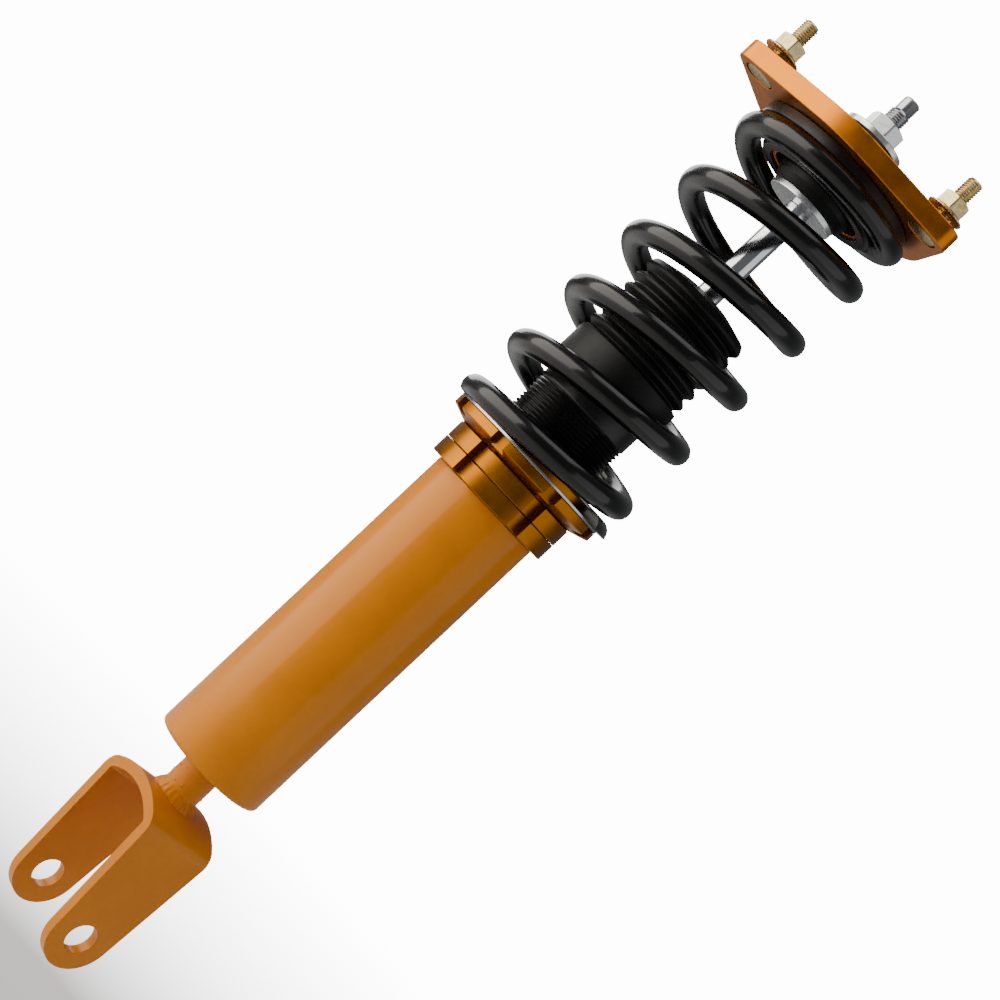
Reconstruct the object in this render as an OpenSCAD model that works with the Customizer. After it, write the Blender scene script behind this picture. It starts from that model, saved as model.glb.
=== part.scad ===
// Adjustable coilover with a clevis foot and a three-stud top mount.
// Frame: millimetres, +Z up the damper's axis, +X along the lower bolt.
// Origin: the centre of the lower bolt hole, midway between the clevis ears.

/* [Clevis] */
// Diameter of the lower bolt hole through both ears
bolt_hole_d = 15; // [13:0.5:16]
// Clear gap between the two ears
clevis_gap = 40; // [36:1:42]
// Thickness of the bent plate
ear_t = 5.5; // [5:0.5:6]
// Radius of the round end of each ear
ear_end_r = 16.5; // [15.5:0.5:18]
// Angle by which each ear's edges open towards the crown
ear_flare = 4.4; // [3:0.2:5]
// Height of the crown's underside above the bolt
crown_inner_z = 63; // [61:1:65]
// How far the crown's underside arches above its corners
crown_rise = 6; // [5:0.5:7]
// Outer corner radius of the crown
crown_corner_r = 9; // [8:0.5:10]
// Diameter of the welded neck
neck_d = 19; // [18:0.5:20]

/* [Lower tube] */
// Height of the tube's closed end above the bolt
tube_base_z = 88.5; // [86:0.5:91]
// Height of the tube's open end, where the lower lock ring sits
tube_top_z = 256; // [252:1:258]
// Outer diameter of the tube
tube_d = 58; // [57:0.5:59]
// Radius of the closed end's edge
tube_edge_r = 5; // [4:0.5:6]

/* [Damper] */
// Outer diameter of the threaded damper tube
damper_d = 50; // [50:0.5:51]
// Wall of the damper tube
damper_wall = 3; // [3:0.25:3.5]
// Bottom of the damper tube
damper_base_z = 112; // [108:1:116]
// Top of the damper tube
damper_top_z = 343; // [342:1:343]
// Diameter of the piston rod
rod_d = 12; // [12:0.5:12.5]
// Diameter of the rod's threaded ends
rod_thread_d = 10; // [9:0.5:10]
// Running clearance on the radius of each sliding or turning fit
running_fit = 0.05; // [0.03:0.01:0.08]

/* [Rings and perch] */
// Outer diameter of the two lock rings
ring_d = 68; // [67:0.5:70]
// Height of each lock ring
ring_h = 8.9; // [8.5:0.1:8.9]
// Spanner slots in each lock ring
ring_slots = 6; // [4:1:8]
// Width of a spanner slot
slot_w = 7.6; // [6:0.2:8]
// Depth of a spanner slot
slot_depth = 5; // [4:0.5:5]
// Outer diameter of the spring perch
perch_d = 85; // [84:0.5:88]
// Spanner slots in the perch
perch_slots = 8; // [6:1:10]

/* [Spring] */
// Inside diameter of the coil spring
spring_id = 70; // [70:0.5:71]
// Wire diameter
wire_d = 12; // [11:0.25:12.5]
// Free length, which is also its fitted length here
spring_len = 180; // [178:1:182]
// Turns from one wire end to the other
spring_turns = 6.32; // [6.1:0.02:6.5]
// Turns that lie closed at the foot
closed_low = 0.83; // [0.8:0.01:0.85]
// Turns that lie closed at the top
closed_high = 0.68; // [0.66:0.01:0.74]
// Thickness left at each ground tip of the wire
tip_t = 5; // [4.5:0.1:5.2]

/* [Dust boot] */
// Ridges on the bellows
boot_ridges = 6; // [5:1:6]
// Height of one ridge
boot_pitch = 6.8; // [6:0.1:6.9]
// Outer diameter over the ridges and collar
boot_d = 58.4; // [57:0.2:60]

/* [Top mount] */
// Thickness of the top plate
plate_t = 9.5; // [9:0.5:10]
// Radius of the plate's round middle
plate_mid_r = 52.5; // [50:0.5:54]
// Radius from the axis to each corner's centre
corner_at_r = 62; // [60:0.5:64]
// Radius of each corner
corner_r = 8; // [7:0.5:9]
// Diameter of the circle that the studs stand on
stud_pcd = 114; // [112:1:116]
// Diameter of the stud threads
stud_d = 8; // [7:0.5:8]
// Angle of the first stud from +X
stud_turn = 6; // [0:1:30]
// Outer diameter of the upper spring seat
seat_d = 86; // [84:1:88]

/* [Hidden] */
$fn = 96;

// Gap between flat faces of neighbouring bodies
face_gap = 0.1;

// Clevis
arch_r = (pow(clevis_gap / 2, 2) + pow(crown_rise, 2)) / (2 * crown_rise);
arch_z = crown_inner_z - arch_r;
clevis_half_w = clevis_gap / 2 + ear_t;
crown_outer_r = arch_r + ear_t;
crown_top_z = crown_inner_z + ear_t;
ear_foot_z = -ear_end_r - 5;

// Damper
damper_r = damper_d / 2;
bore_r = damper_r - damper_wall;
ring_bore_r = damper_r + running_fit;
rod_r = rod_d / 2;
rod_thread_r = rod_thread_d / 2;
gland_h = 9;
guide_h = 24.7;
guide_z = damper_top_z - gland_h - guide_h;
topout_h = 2.5;
piston_h = 14;
shim_t = 0.4;
shim_step = 0.47;
shims_h = 1.9;
shoulder_z = guide_z - 0.2;
piston_z = shoulder_z - topout_h - shims_h - piston_h;
gas_piston_z = 150;

// Stack of rings on the damper
ring_low_z = tube_top_z + face_gap;
ring_high_z = ring_low_z + ring_h + face_gap;
perch_z = ring_high_z + ring_h + face_gap;
perch_h = 7.9;
washer_z = perch_z + perch_h + 0.05;
washer_t = 1.2;
spring_z = washer_z + washer_t;
spring_top_z = spring_z + spring_len;
spigot_r = spring_id / 2 - 0.7;
seat_face_z = spring_top_z + 0.05;

// Top mount
plate_z = seat_face_z + 5.5;
plate_top_z = plate_z + plate_t;
support_z = 445.5;
support_t = 3;
sleeve_z = support_z + support_t;
sleeve_h = 39.9;
cap_z = sleeve_z + sleeve_h;
cap_t = 3;
nut_z = cap_z + cap_t;
rod_end_z = 515;
sleeve_r = 8;

function arc(cx, cy, r, a0, a1, n) =
  [for (i = [0:n]) [cx + r * cos(a0 + (a1 - a0) * i / n), cy + r * sin(a0 + (a1 - a0) * i / n)]];

// A flat ring: a tube of radii ro and ri from z up by h
module ring(ro, ri, z, h) {
  translate([0, 0, z]) difference() {
    cylinder(r = ro, h = h);
    translate([0, 0, -1]) cylinder(r = ri, h = h + 2);
  }
}

// Slots cut radially inwards from radius ro to depth d
module spanner_slots(n, turn, ro, d, w, z, h) {
  for (i = [0:n - 1])
    rotate([0, 0, turn + i * 360 / n])
      translate([ro - d, -w / 2, z - 1]) cube([d + 5, w, h + 2]);
}

// Hexagon of width af across its flats
module hexagon(af, z, h) {
  translate([0, 0, z]) rotate([0, 0, 30]) cylinder(d = af / cos(30), h = h, $fn = 6);
}

// ---- Bracket: clevis, neck and lower tube ----

// Outline of the bent strap as seen along Y: straight sides, rounded corners, arched crown
function strap_outline(half_w, r_top, r_corner) =
  let(
    cx = half_w - r_corner,
    cz = sqrt(pow(r_top - r_corner, 2) - pow(cx, 2)),
    a = atan2(cz, cx)
  )
  concat(
    [[half_w, ear_foot_z]],
    arc(cx, arch_z + cz, r_corner, 0, a, 6),
    arc(0, arch_z, r_top, a, 180 - a, 10),
    arc(-cx, arch_z + cz, r_corner, 180 - a, 180, 6),
    [[-half_w, ear_foot_z]]
  );

module crown_blank() {
  rotate([90, 0, 0]) translate([0, 0, -30])
    linear_extrude(60) polygon(strap_outline(clevis_half_w, crown_outer_r, crown_corner_r));
}

// Side view of an ear: round end, then edges that open by ear_flare
module ear_side() {
  top_z = 72;
  half_top = ear_end_r / cos(ear_flare) + top_z * tan(ear_flare);
  rotate([90, 0, 90]) translate([0, 0, -40]) linear_extrude(80)
    polygon(concat(
      [[-half_top, top_z]],
      arc(0, 0, ear_end_r, 180 + ear_flare, 360 - ear_flare, 24),
      [[half_top, top_z]]
    ));
}

module clevis() {
  color("#C98A2B") difference() {
    intersection() {
      crown_blank();
      ear_side();
    }
    rotate([90, 0, 0]) translate([0, 0, -31])
      linear_extrude(62) polygon(strap_outline(clevis_gap / 2, arch_r, 2));
    translate([-40, 0, 0]) rotate([0, 90, 0]) cylinder(d = bolt_hole_d, h = 80);
  }
}

module clevis_neck() {
  color("#C98A2B") difference() {
    translate([0, 0, crown_inner_z]) cylinder(d = neck_d, h = tube_base_z - crown_inner_z);
    crown_blank();
  }
}

module weld_beads() {
  neck_r = neck_d / 2;
  color("#B97D25") {
    difference() {
      rotate_extrude() polygon(concat(
        [[neck_r, crown_top_z - 8], [neck_r + 4.5, crown_top_z - 8]],
        arc(neck_r + 5, crown_top_z + 4, 4.5, 265, 184, 5),
        [[neck_r, crown_top_z + 4.6]]
      ));
      crown_blank();
    }
    rotate_extrude() polygon(concat(
      [[neck_r, tube_base_z - 3.2]],
      arc(neck_r + 3.2, tube_base_z - 3.2, 2.8, 172, 98, 4),
      [[neck_r + 3.4, tube_base_z], [neck_r, tube_base_z]]
    ));
  }
}

module lower_tube() {
  color("#D9A03A")
    ring(tube_d / 2, ring_bore_r, tube_base_z + tube_edge_r, tube_top_z - tube_base_z - tube_edge_r);
}

module tube_base() {
  spigot_h = 4;
  color("#D9A03A") rotate_extrude() polygon(concat(
    [[0, tube_base_z]],
    arc(tube_d / 2 - tube_edge_r, tube_base_z + tube_edge_r, tube_edge_r, -90, 0, 8),
    [
      [ring_bore_r, tube_base_z + tube_edge_r],
      [ring_bore_r, tube_base_z + tube_edge_r + spigot_h],
      [0, tube_base_z + tube_edge_r + spigot_h]
    ]
  ));
}

// ---- Rings on the damper ----

module lock_ring(z) {
  edge = 0.5;
  turn = -15;
  ro = ring_d / 2;
  color("#D0812C") difference() {
    rotate_extrude() polygon([
      [ring_bore_r, z], [ro - edge, z], [ro, z + edge],
      [ro, z + ring_h - edge], [ro - edge, z + ring_h], [ring_bore_r, z + ring_h]
    ]);
    spanner_slots(ring_slots, turn, ro, slot_depth, slot_w, z, ring_h);
  }
}

module lock_ring_lower() {
  lock_ring(ring_low_z);
}

module lock_ring_upper() {
  lock_ring(ring_high_z);
}

// Flange with a sloping underside on a short hub, and a spigot that centres the spring
module spring_perch() {
  ro = perch_d / 2;
  hub_r = 33;
  spigot_h = 5.8;
  top = perch_z + perch_h;
  turn = -19.7;
  color("#D0812C") difference() {
    rotate_extrude() polygon([
      [ring_bore_r, perch_z], [hub_r, perch_z], [ro - 0.4, perch_z + 3.1], [ro, perch_z + 3.5],
      [ro, top - 0.4], [ro - 0.4, top], [spigot_r, top],
      [spigot_r, top + spigot_h - 1], [spigot_r - 1, top + spigot_h], [ring_bore_r, top + spigot_h]
    ]);
    spanner_slots(perch_slots, turn, ro, slot_depth, slot_w, perch_z, perch_h);
  }
}

module seat_washer() {
  color("#D8D8D8") ring(perch_d / 2, spigot_r + 0.4, washer_z, washer_t);
}

// Centre height of the wire at turn t: ground tips, closed ends, and a steady climb between them
function wire_z(t) =
  let(
    low = wire_d / 2 + 0.4,
    high = spring_len - low,
    tip = tip_t - wire_d / 2,
    t1 = spring_turns - closed_high
  )
  t < closed_low ? tip + (low - tip) * t / closed_low
  : t < t1 ? low + (high - low) * (t - closed_low) / (t1 - closed_low)
  : high + (low - tip) * (t - t1) / closed_high;

// The wire is swept as rings of points; points past the ground ends are laid on them
module coil_spring() {
  start = 14.7;
  sides = 14;
  per_turn = 32;
  n = round(spring_turns * per_turn);
  mid_r = (spring_id + wire_d) / 2;
  pts = [
    for (i = [0:n])
      let(t = spring_turns * i / n, a = start + 360 * t)
        for (j = [0:sides - 1])
          let(
            b = 360 * (j + 0.5) / sides,
            rr = mid_r + wire_d / 2 * cos(b),
            z = wire_z(t) + wire_d / 2 * sin(b)
          )
            [rr * cos(a), rr * sin(a), spring_z + min(max(z, 0), spring_len)]
  ];
  skin = [
    for (i = [0:n - 1])
      for (j = [0:sides - 1])
        let(a = i * sides + j, b = i * sides + (j + 1) % sides)
          [a, b, b + sides, a + sides]
  ];
  // A point in the middle of each end keeps every triangle of the cap well shaped
  mid_first = [mid_r * cos(start), mid_r * sin(start), spring_z + tip_t / 2];
  end_a = start + 360 * spring_turns;
  mid_last = [mid_r * cos(end_a), mid_r * sin(end_a), spring_z + spring_len - tip_t / 2];
  m = (n + 1) * sides;
  caps = [
    for (j = [0:sides - 1])
      let(k = (j + 1) % sides)
        for (f = [[m, k, j], [m + 1, n * sides + j, n * sides + k]]) f
  ];
  color("#1B1B1D")
    polyhedron(points = concat(pts, [mid_first, mid_last]), faces = concat(skin, caps), convexity = 10);
}

// ---- Damper ----

module damper_tube() {
  color("#1C1C1E") ring(damper_r, bore_r, damper_base_z, damper_top_z - damper_base_z);
}

// Plug that closes the damper tube, with a recess for the gas valve
module damper_base() {
  color("#8C8F94") translate([0, 0, damper_base_z]) difference() {
    cylinder(r = bore_r, h = 12);
    translate([0, 0, -1]) cylinder(r = 7, h = 7);
  }
}

module rod_guide() {
  color("#B9BCC0") difference() {
    ring(bore_r, rod_r + running_fit, guide_z, guide_h);
    translate([0, 0, guide_z + guide_h - 8]) cylinder(r = 10, h = 9);
    ring(bore_r + 1, bore_r - 2.2, guide_z + 6, 3.2);
  }
}

module rod_seal() {
  color("#202020") ring(10, rod_r + running_fit, guide_z + guide_h - 8, 7.5);
}

module o_ring(mid_r, section_r, z) {
  color("#202020") translate([0, 0, z])
    rotate_extrude() translate([mid_r, 0]) circle(r = section_r);
}

module guide_o_ring() {
  o_ring(bore_r - 1.1, 1.05, guide_z + 7.6);
}

module gland_nut() {
  pin_holes = 4;
  color("#2A2A2C") difference() {
    ring(bore_r, rod_r + 0.8, damper_top_z - gland_h, gland_h);
    for (i = [0:pin_holes - 1])
      rotate([0, 0, i * 360 / pin_holes])
        translate([15, 0, damper_top_z - 4]) cylinder(d = 4, h = 5);
  }
}

// Floating piston that keeps the gas below apart from the oil above
module gas_piston() {
  color("#B9BCC0") difference() {
    translate([0, 0, gas_piston_z]) cylinder(r = bore_r - running_fit, h = 18);
    translate([0, 0, gas_piston_z - 1]) cylinder(r = 15, h = 11);
    ring(bore_r + 1, bore_r - 2.4, gas_piston_z + 12, 3.2);
  }
}

module gas_piston_o_ring() {
  o_ring(bore_r - 1.25, 1.15, gas_piston_z + 13.6);
}

// Foam stop on the rod, with two waists
module bump_stop() {
  z = damper_top_z;
  bore = rod_r + 0.5;
  color("#C9B46A") rotate_extrude() polygon([
    [bore, z], [18, z], [19, z + 2], [19, z + 8], [15.5, z + 11], [18, z + 14],
    [18, z + 19], [14.5, z + 22], [16, z + 25], [15, z + 30], [11, z + 33], [bore, z + 33]
  ]);
}

// Rubber bellows: a collar on the damper tube, ridges, and a cone that closes on the rod
module dust_boot() {
  wall = 1.8;
  ro = boot_d / 2;
  valley = damper_r + 0.9;
  collar_z = damper_top_z - 17;
  z0 = damper_top_z + 1.2;
  top = z0 + boot_ridges * boot_pitch;
  outer = concat(
    [[ro, collar_z], [ro, damper_top_z - 0.4]],
    [for (i = [0:boot_ridges - 1]) each [
      [valley, z0 + i * boot_pitch],
      [ro - 0.2, z0 + (i + 0.42) * boot_pitch],
      [ro - 0.2, z0 + (i + 0.58) * boot_pitch]
    ]],
    [[valley + 1.5, top + 0.2], [16, top + 3.4], [10, top + 3.8], [rod_r + 1, top + 3.8]]
  );
  inner = concat(
    [[rod_r + 1, top + 2], [15.5, top + 1.6], [valley - 0.4, top - 1.4]],
    [for (i = [boot_ridges - 1:-1:0]) each [
      [ro - 0.2 - wall, z0 + (i + 0.58) * boot_pitch],
      [ro - 0.2 - wall, z0 + (i + 0.42) * boot_pitch],
      [valley - wall, z0 + i * boot_pitch]
    ]],
    [[damper_r, damper_top_z - 0.4], [damper_r, collar_z]]
  );
  color("#232325") rotate_extrude() polygon(concat(outer, inner));
}

// ---- Piston rod and what is clamped to it ----

// Chrome rod: a thinner threaded end for the piston, one for the top mount, and an end pin
module piston_rod() {
  pin_r = 4.3;
  pin_af = 7;
  thread_top = rod_end_z - 7;
  color("#C9CDD2") difference() {
    union() {
      translate([0, 0, piston_z - 13]) cylinder(r = rod_thread_r, h = thread_top - piston_z + 13);
      translate([0, 0, shoulder_z]) cylinder(r = rod_r, h = support_z - shoulder_z);
      translate([0, 0, thread_top]) cylinder(r = pin_r, h = 6.2);
      translate([0, 0, rod_end_z - 0.8]) cylinder(r1 = pin_r, r2 = pin_r - 0.7, h = 0.8);
    }
    for (s = [-1, 1])
      translate([s * (pin_af / 2 + 5), 0, thread_top + 5.1]) cube([10, 20, 10], center = true);
  }
}

module piston() {
  ports = 6;
  color("#9DA1A6") difference() {
    ring(bore_r - 0.5, rod_thread_r, piston_z, piston_h);
    ring(bore_r + 1, bore_r - 1.6, piston_z + 2, piston_h - 4);
    for (i = [0:ports - 1])
      rotate([0, 0, i * 360 / ports])
        translate([12, 0, piston_z - 1]) cylinder(d = 4, h = piston_h + 2);
  }
}

module piston_band() {
  color("#6B4A2B") ring(bore_r - running_fit, bore_r - 1.6, piston_z + 2, piston_h - 4);
}

// Two stacks of thin spring-steel discs that cover the piston's ports
module valve_shims() {
  above = piston_z + piston_h;
  below = piston_z - shim_step * 4;
  color("#8E99A6") for (i = [0:3]) {
    ring(16 - 2 * i, rod_thread_r, above + 0.02 + i * shim_step, shim_t);
    ring(10 + 2 * i, rod_thread_r, below + i * shim_step, shim_t);
  }
}

module topout_washer() {
  color("#8A8D91") ring(12, rod_thread_r, shoulder_z - topout_h, topout_h);
}

module nut_blank(af, z, h, bore) {
  difference() {
    hexagon(af, z, h);
    translate([0, 0, z - 1]) cylinder(r = bore, h = h + 2);
  }
}

module piston_nut() {
  color("#8A8D91") nut_blank(17, piston_z - 11, 9, rod_thread_r);
}

module support_washer() {
  color("#DADDE0") ring(17.8, rod_thread_r, support_z, support_t);
}

module bush_sleeve() {
  color("#B8BCC2") ring(sleeve_r, rod_thread_r, sleeve_z, sleeve_h);
}

// Rubber below the plate, with a neck that reaches halfway through the plate's hole
module lower_bush() {
  top = plate_z - face_gap;
  color("#1F1F20") rotate_extrude() polygon([
    [sleeve_r, sleeve_z], [18, sleeve_z], [20.4, sleeve_z + 4], [21, sleeve_z + 6.5],
    [21, top], [14.4, top], [14.4, plate_z + plate_t / 2 - 0.1], [sleeve_r, plate_z + plate_t / 2 - 0.1]
  ]);
}

module upper_bush() {
  low = plate_top_z - 0.9;
  color("#1F1F20") rotate_extrude() polygon([
    [sleeve_r, plate_z + plate_t / 2], [14.4, plate_z + plate_t / 2], [14.4, low], [18, low],
    [18, cap_z - 3], [16, cap_z], [sleeve_r, cap_z]
  ]);
}

module upper_washer() {
  color("#D6D9DC") ring(16, rod_thread_r, cap_z, cap_t);
}

module rod_nut() {
  collar_h = 1.4;
  color("#E2E6E8") {
    ring(8.6, rod_thread_r, nut_z, collar_h);
    nut_blank(17, nut_z + collar_h, 7.6, rod_thread_r);
  }
}

// ---- Top mount ----

// Round middle joined by straight tangents to three rounded corners
function plate_outline() =
  let(b = 90 - asin((plate_mid_r - corner_r) / corner_at_r))
  [for (k = [0:2]) let(a = stud_turn + 120 * k)
    each concat(
      arc(corner_at_r * cos(a), corner_at_r * sin(a), corner_r, a - b, a + b, 8),
      arc(0, 0, plate_mid_r, a + b, a + 120 - b, 8)
    )];

module at_studs() {
  for (k = [0:2])
    rotate([0, 0, stud_turn + 120 * k]) translate([stud_pcd / 2, 0, 0]) children();
}

stud_head_r = 7.2;
stud_head_h = 3;
stud_knurl_r = stud_d / 2 + 0.3;

module top_plate() {
  bush_hole_r = 14.8;
  boss_r = 27;
  boss_wall = 2;
  boss_z = 455.5;
  color("#E0913A") {
    difference() {
      translate([0, 0, plate_z]) linear_extrude(plate_t) polygon(plate_outline());
      translate([0, 0, plate_z - 1]) cylinder(r = bush_hole_r, h = plate_t + 2);
      translate([0, 0, plate_top_z - 1]) cylinder(r = 18.4, h = 2);
      at_studs() {
        translate([0, 0, plate_z - 1]) cylinder(r = stud_knurl_r, h = plate_t + 2);
        translate([0, 0, plate_z - 1]) cylinder(r = stud_head_r + 0.5, h = stud_head_h + 1.2);
      }
    }
    ring(boss_r, boss_r - boss_wall, boss_z, plate_z - boss_z);
  }
}

// Black seat that the spring bears on, with a collar that centres the spring's top
module upper_spring_seat() {
  ro = seat_d / 2;
  collar_r = 33.3;
  bore = 27;
  low = 454;
  color("#1E1E20") rotate_extrude() polygon([
    [bore, low], [collar_r - 1.5, low], [collar_r, low + 1.5], [collar_r, seat_face_z],
    [ro, seat_face_z], [ro, plate_z - 1], [ro - 0.8, plate_z], [bore, plate_z]
  ]);
}

nut_gap = 3;
stud_nut_h = 9;
stud_nut_z = plate_top_z + nut_gap;
stud_tip_z = plate_top_z + 22.8;

// Pressed-in studs: a flat head, a knurl in the plate, and a thread
module mount_studs() {
  head_z = plate_z + 0.2;
  neck_r = stud_d / 2 - 0.2;
  free_z = stud_nut_z + stud_nut_h;
  color("#C9B478") at_studs() {
    translate([0, 0, head_z]) cylinder(r = stud_head_r, h = stud_head_h);
    translate([0, 0, head_z]) cylinder(r = stud_knurl_r, h = plate_top_z - head_z);
    translate([0, 0, head_z]) cylinder(r = neck_r, h = free_z - head_z);
    translate([0, 0, free_z]) cylinder(r = stud_d / 2, h = stud_tip_z - free_z - 0.9);
    translate([0, 0, stud_tip_z - 0.9]) cylinder(r1 = stud_d / 2, r2 = stud_d / 2 - 0.8, h = 0.9);
  }
}

// Flange nuts, run down the studs to just above the plate
module stud_nuts() {
  flange_r = 9.3;
  flange_h = 2.4;
  z = stud_nut_z;
  bore = stud_d / 2 - 0.2;
  color("#D8CFA0") at_studs() difference() {
    union() {
      translate([0, 0, z + 0.6]) cylinder(r = flange_r, h = 0.8);
      translate([0, 0, z]) cylinder(r1 = flange_r - 1.2, r2 = flange_r, h = 0.6);
      translate([0, 0, z + 1.4]) cylinder(r1 = flange_r, r2 = 7, h = flange_h - 1.4);
      hexagon(13, z + 1, stud_nut_h - 1);
    }
    translate([0, 0, z - 1]) cylinder(r = bore, h = stud_nut_h + 2);
  }
}

clevis();
clevis_neck();
weld_beads();
lower_tube();
tube_base();
lock_ring_lower();
lock_ring_upper();
spring_perch();
seat_washer();
coil_spring();
damper_tube();
damper_base();
rod_guide();
rod_seal();
guide_o_ring();
gland_nut();
gas_piston();
gas_piston_o_ring();
bump_stop();
dust_boot();
piston_rod();
piston();
piston_band();
valve_shims();
topout_washer();
piston_nut();
support_washer();
lower_bush();
upper_bush();
bush_sleeve();
upper_washer();
rod_nut();
top_plate();
upper_spring_seat();
mount_studs();
stud_nuts();
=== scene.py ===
import math

import bmesh
import bpy
from mathutils import Matrix, Vector, noise


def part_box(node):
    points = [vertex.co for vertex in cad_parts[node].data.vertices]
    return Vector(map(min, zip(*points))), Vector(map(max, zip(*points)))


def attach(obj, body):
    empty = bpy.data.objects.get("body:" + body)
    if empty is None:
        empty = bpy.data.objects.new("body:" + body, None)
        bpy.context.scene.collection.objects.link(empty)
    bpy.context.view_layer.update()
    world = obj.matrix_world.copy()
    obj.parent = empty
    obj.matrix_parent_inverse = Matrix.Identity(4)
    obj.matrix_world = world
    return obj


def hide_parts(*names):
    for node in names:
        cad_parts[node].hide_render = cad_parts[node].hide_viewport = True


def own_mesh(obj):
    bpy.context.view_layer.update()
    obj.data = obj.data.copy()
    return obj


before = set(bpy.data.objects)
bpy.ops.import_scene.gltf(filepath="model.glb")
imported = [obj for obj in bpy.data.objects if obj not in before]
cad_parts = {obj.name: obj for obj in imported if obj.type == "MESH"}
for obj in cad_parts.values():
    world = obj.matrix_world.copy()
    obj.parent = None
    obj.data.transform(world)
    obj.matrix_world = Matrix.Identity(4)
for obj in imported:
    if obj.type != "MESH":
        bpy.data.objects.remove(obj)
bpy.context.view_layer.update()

MM = 0.001
scene = bpy.context.scene


# ---- Sizes, read from the frame, in millimetres ----

def low(node):
    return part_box(node)[0].z / MM


def high(node):
    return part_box(node)[1].z / MM


def radius(node):
    """A turned node's largest radius: the vertex furthest from the damper's axis."""
    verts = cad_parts[node].data.vertices
    return max(math.hypot(v.co.x, v.co.y) for v in verts) / MM


# ---- Meshes ----

def linked(name, mesh, materials):
    """A new object for the mesh, in the scene, with its material slots."""
    obj = bpy.data.objects.new(name, mesh)
    scene.collection.objects.link(obj)
    for material in materials:
        mesh.materials.append(material)
    return obj


def piece(name, verts, faces, materials):
    """A new object from millimetre vertices, with its faces turned outwards."""
    mesh = bpy.data.meshes.new(name)
    mesh.from_pydata([tuple(c * MM for c in v) for v in verts], [], faces)
    obj = linked(name, mesh, materials)
    bm = bmesh.new()
    bm.from_mesh(mesh)
    bmesh.ops.remove_doubles(bm, verts=bm.verts, dist=1e-6)
    bmesh.ops.recalc_face_normals(bm, faces=bm.faces)
    bm.to_mesh(mesh)
    bm.free()
    return obj


def applied(obj):
    """Turns the object's modifiers into plain mesh."""
    graph = bpy.context.evaluated_depsgraph_get()
    mesh = bpy.data.meshes.new_from_object(
        obj.evaluated_get(graph), preserve_all_data_layers=True, depsgraph=graph
    )
    mesh.name = obj.name
    obj.modifiers.clear()
    obj.data = mesh
    return obj


def shaded(obj, sharp=38):
    """Smooth faces with sharp edges, where the large flat faces stay flat."""
    obj.data.shade_smooth()
    obj.data.set_sharp_from_angle(angle=math.radians(sharp))
    weigh = obj.modifiers.new("flat faces stay flat", "WEIGHTED_NORMAL")
    weigh.keep_sharp = True
    return applied(obj)


def rounded(corners, size, steps=4):
    """A closed outline with its corners rounded; a third value in a corner is its own radius."""
    points = []
    count = len(corners)
    for i, corner in enumerate(corners):
        before = Vector(corners[i - 1][:2])
        at = Vector(corner[:2])
        after = Vector(corners[(i + 1) % count][:2])
        r = corner[2] if len(corner) > 2 else size
        back, on = before - at, after - at
        half = back.angle(on) / 2
        if r == 0 or abs(half - math.pi / 2) < 0.01:
            points.append(tuple(at))
            continue
        cut = min(r / math.tan(half), 0.48 * back.length, 0.48 * on.length)
        first = at + back.normalized() * cut
        last = at + on.normalized() * cut
        for k in range(steps + 1):
            t = k / steps
            points.append(tuple(first * (1 - t) ** 2 + at * 2 * t * (1 - t) + last * t ** 2))
    return points


def turned(name, outline, materials, segments=144, closed=True):
    """A turned piece from an outline of (radius, height); a radius of 0 is a closed pole."""
    verts, faces = [], []
    for r, z in outline:
        for i in range(segments):
            a = 2 * math.pi * i / segments
            verts.append((r * math.cos(a), r * math.sin(a), z))
    rows = len(outline)
    for j in range(rows if closed else rows - 1):
        k = (j + 1) % rows
        if outline[j][0] == 0 and outline[k][0] == 0:
            continue
        for i in range(segments):
            n = (i + 1) % segments
            faces.append((j * segments + i, j * segments + n, k * segments + n, k * segments + i))
    return piece(name, verts, faces, materials)


def screw_turned(name, rows, pitch, depth, materials, segments, closed, flat=None):
    """A turned piece from rows of (height, radius, thread share). The thread is a right-hand
    helix cut into the radius. flat is (height, half width): above it two sides are planed."""
    crest, flank = 0.12, 0.72
    fine = []
    for a, b in zip(rows, rows[1:] + rows[:1] if closed else rows[1:]):
        threaded = a[2] > 0 and b[2] > 0
        steps = max(1, math.ceil(abs(b[0] - a[0]) / (pitch / 6))) if threaded else 1
        fine += [tuple(p + (q - p) * k / steps for p, q in zip(a, b)) for k in range(steps)]
    if not closed:
        fine.append(rows[-1])
    verts, faces = [], []
    for z, r, share in fine:
        for i in range(segments):
            a = 2 * math.pi * i / segments
            phase = (z / pitch - i / segments) % 1
            dip = min(max((abs(2 * phase - 1) - crest) / flank, 0), 1)
            rr = r - depth * share * dip
            x, y = rr * math.cos(a), rr * math.sin(a)
            if flat and z > flat[0]:
                x = min(max(x, -flat[1]), flat[1])
            verts.append((x, y, z))
    count = len(fine)
    for j in range(count if closed else count - 1):
        k = (j + 1) % count
        for i in range(segments):
            n = (i + 1) % segments
            faces.append((j * segments + i, j * segments + n, k * segments + n, k * segments + i))
    return piece(name, verts, faces, materials)


def inset(outline, by):
    """The outline moved inwards by a distance; it runs anticlockwise."""
    moved = []
    count = len(outline)
    for i in range(count):
        at = Vector(outline[i])
        back = (at - Vector(outline[i - 1])).normalized()
        on = (Vector(outline[(i + 1) % count]) - at).normalized()
        way = Vector((-back.y - on.y, back.x + on.x))
        way.normalize()
        lean = max(way.dot(Vector((-on.y, on.x))), 0.3)
        moved.append(tuple(at + way * (by / lean)))
    return moved


def quarter(size, steps=3):
    """(inwards, along) offsets of a rounded edge, from the flat end to the side."""
    angles = [math.pi / 2 * k / steps for k in range(steps + 1)]
    return [(size * (1 - math.sin(a)), size * (1 - math.cos(a))) for a in angles]


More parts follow.
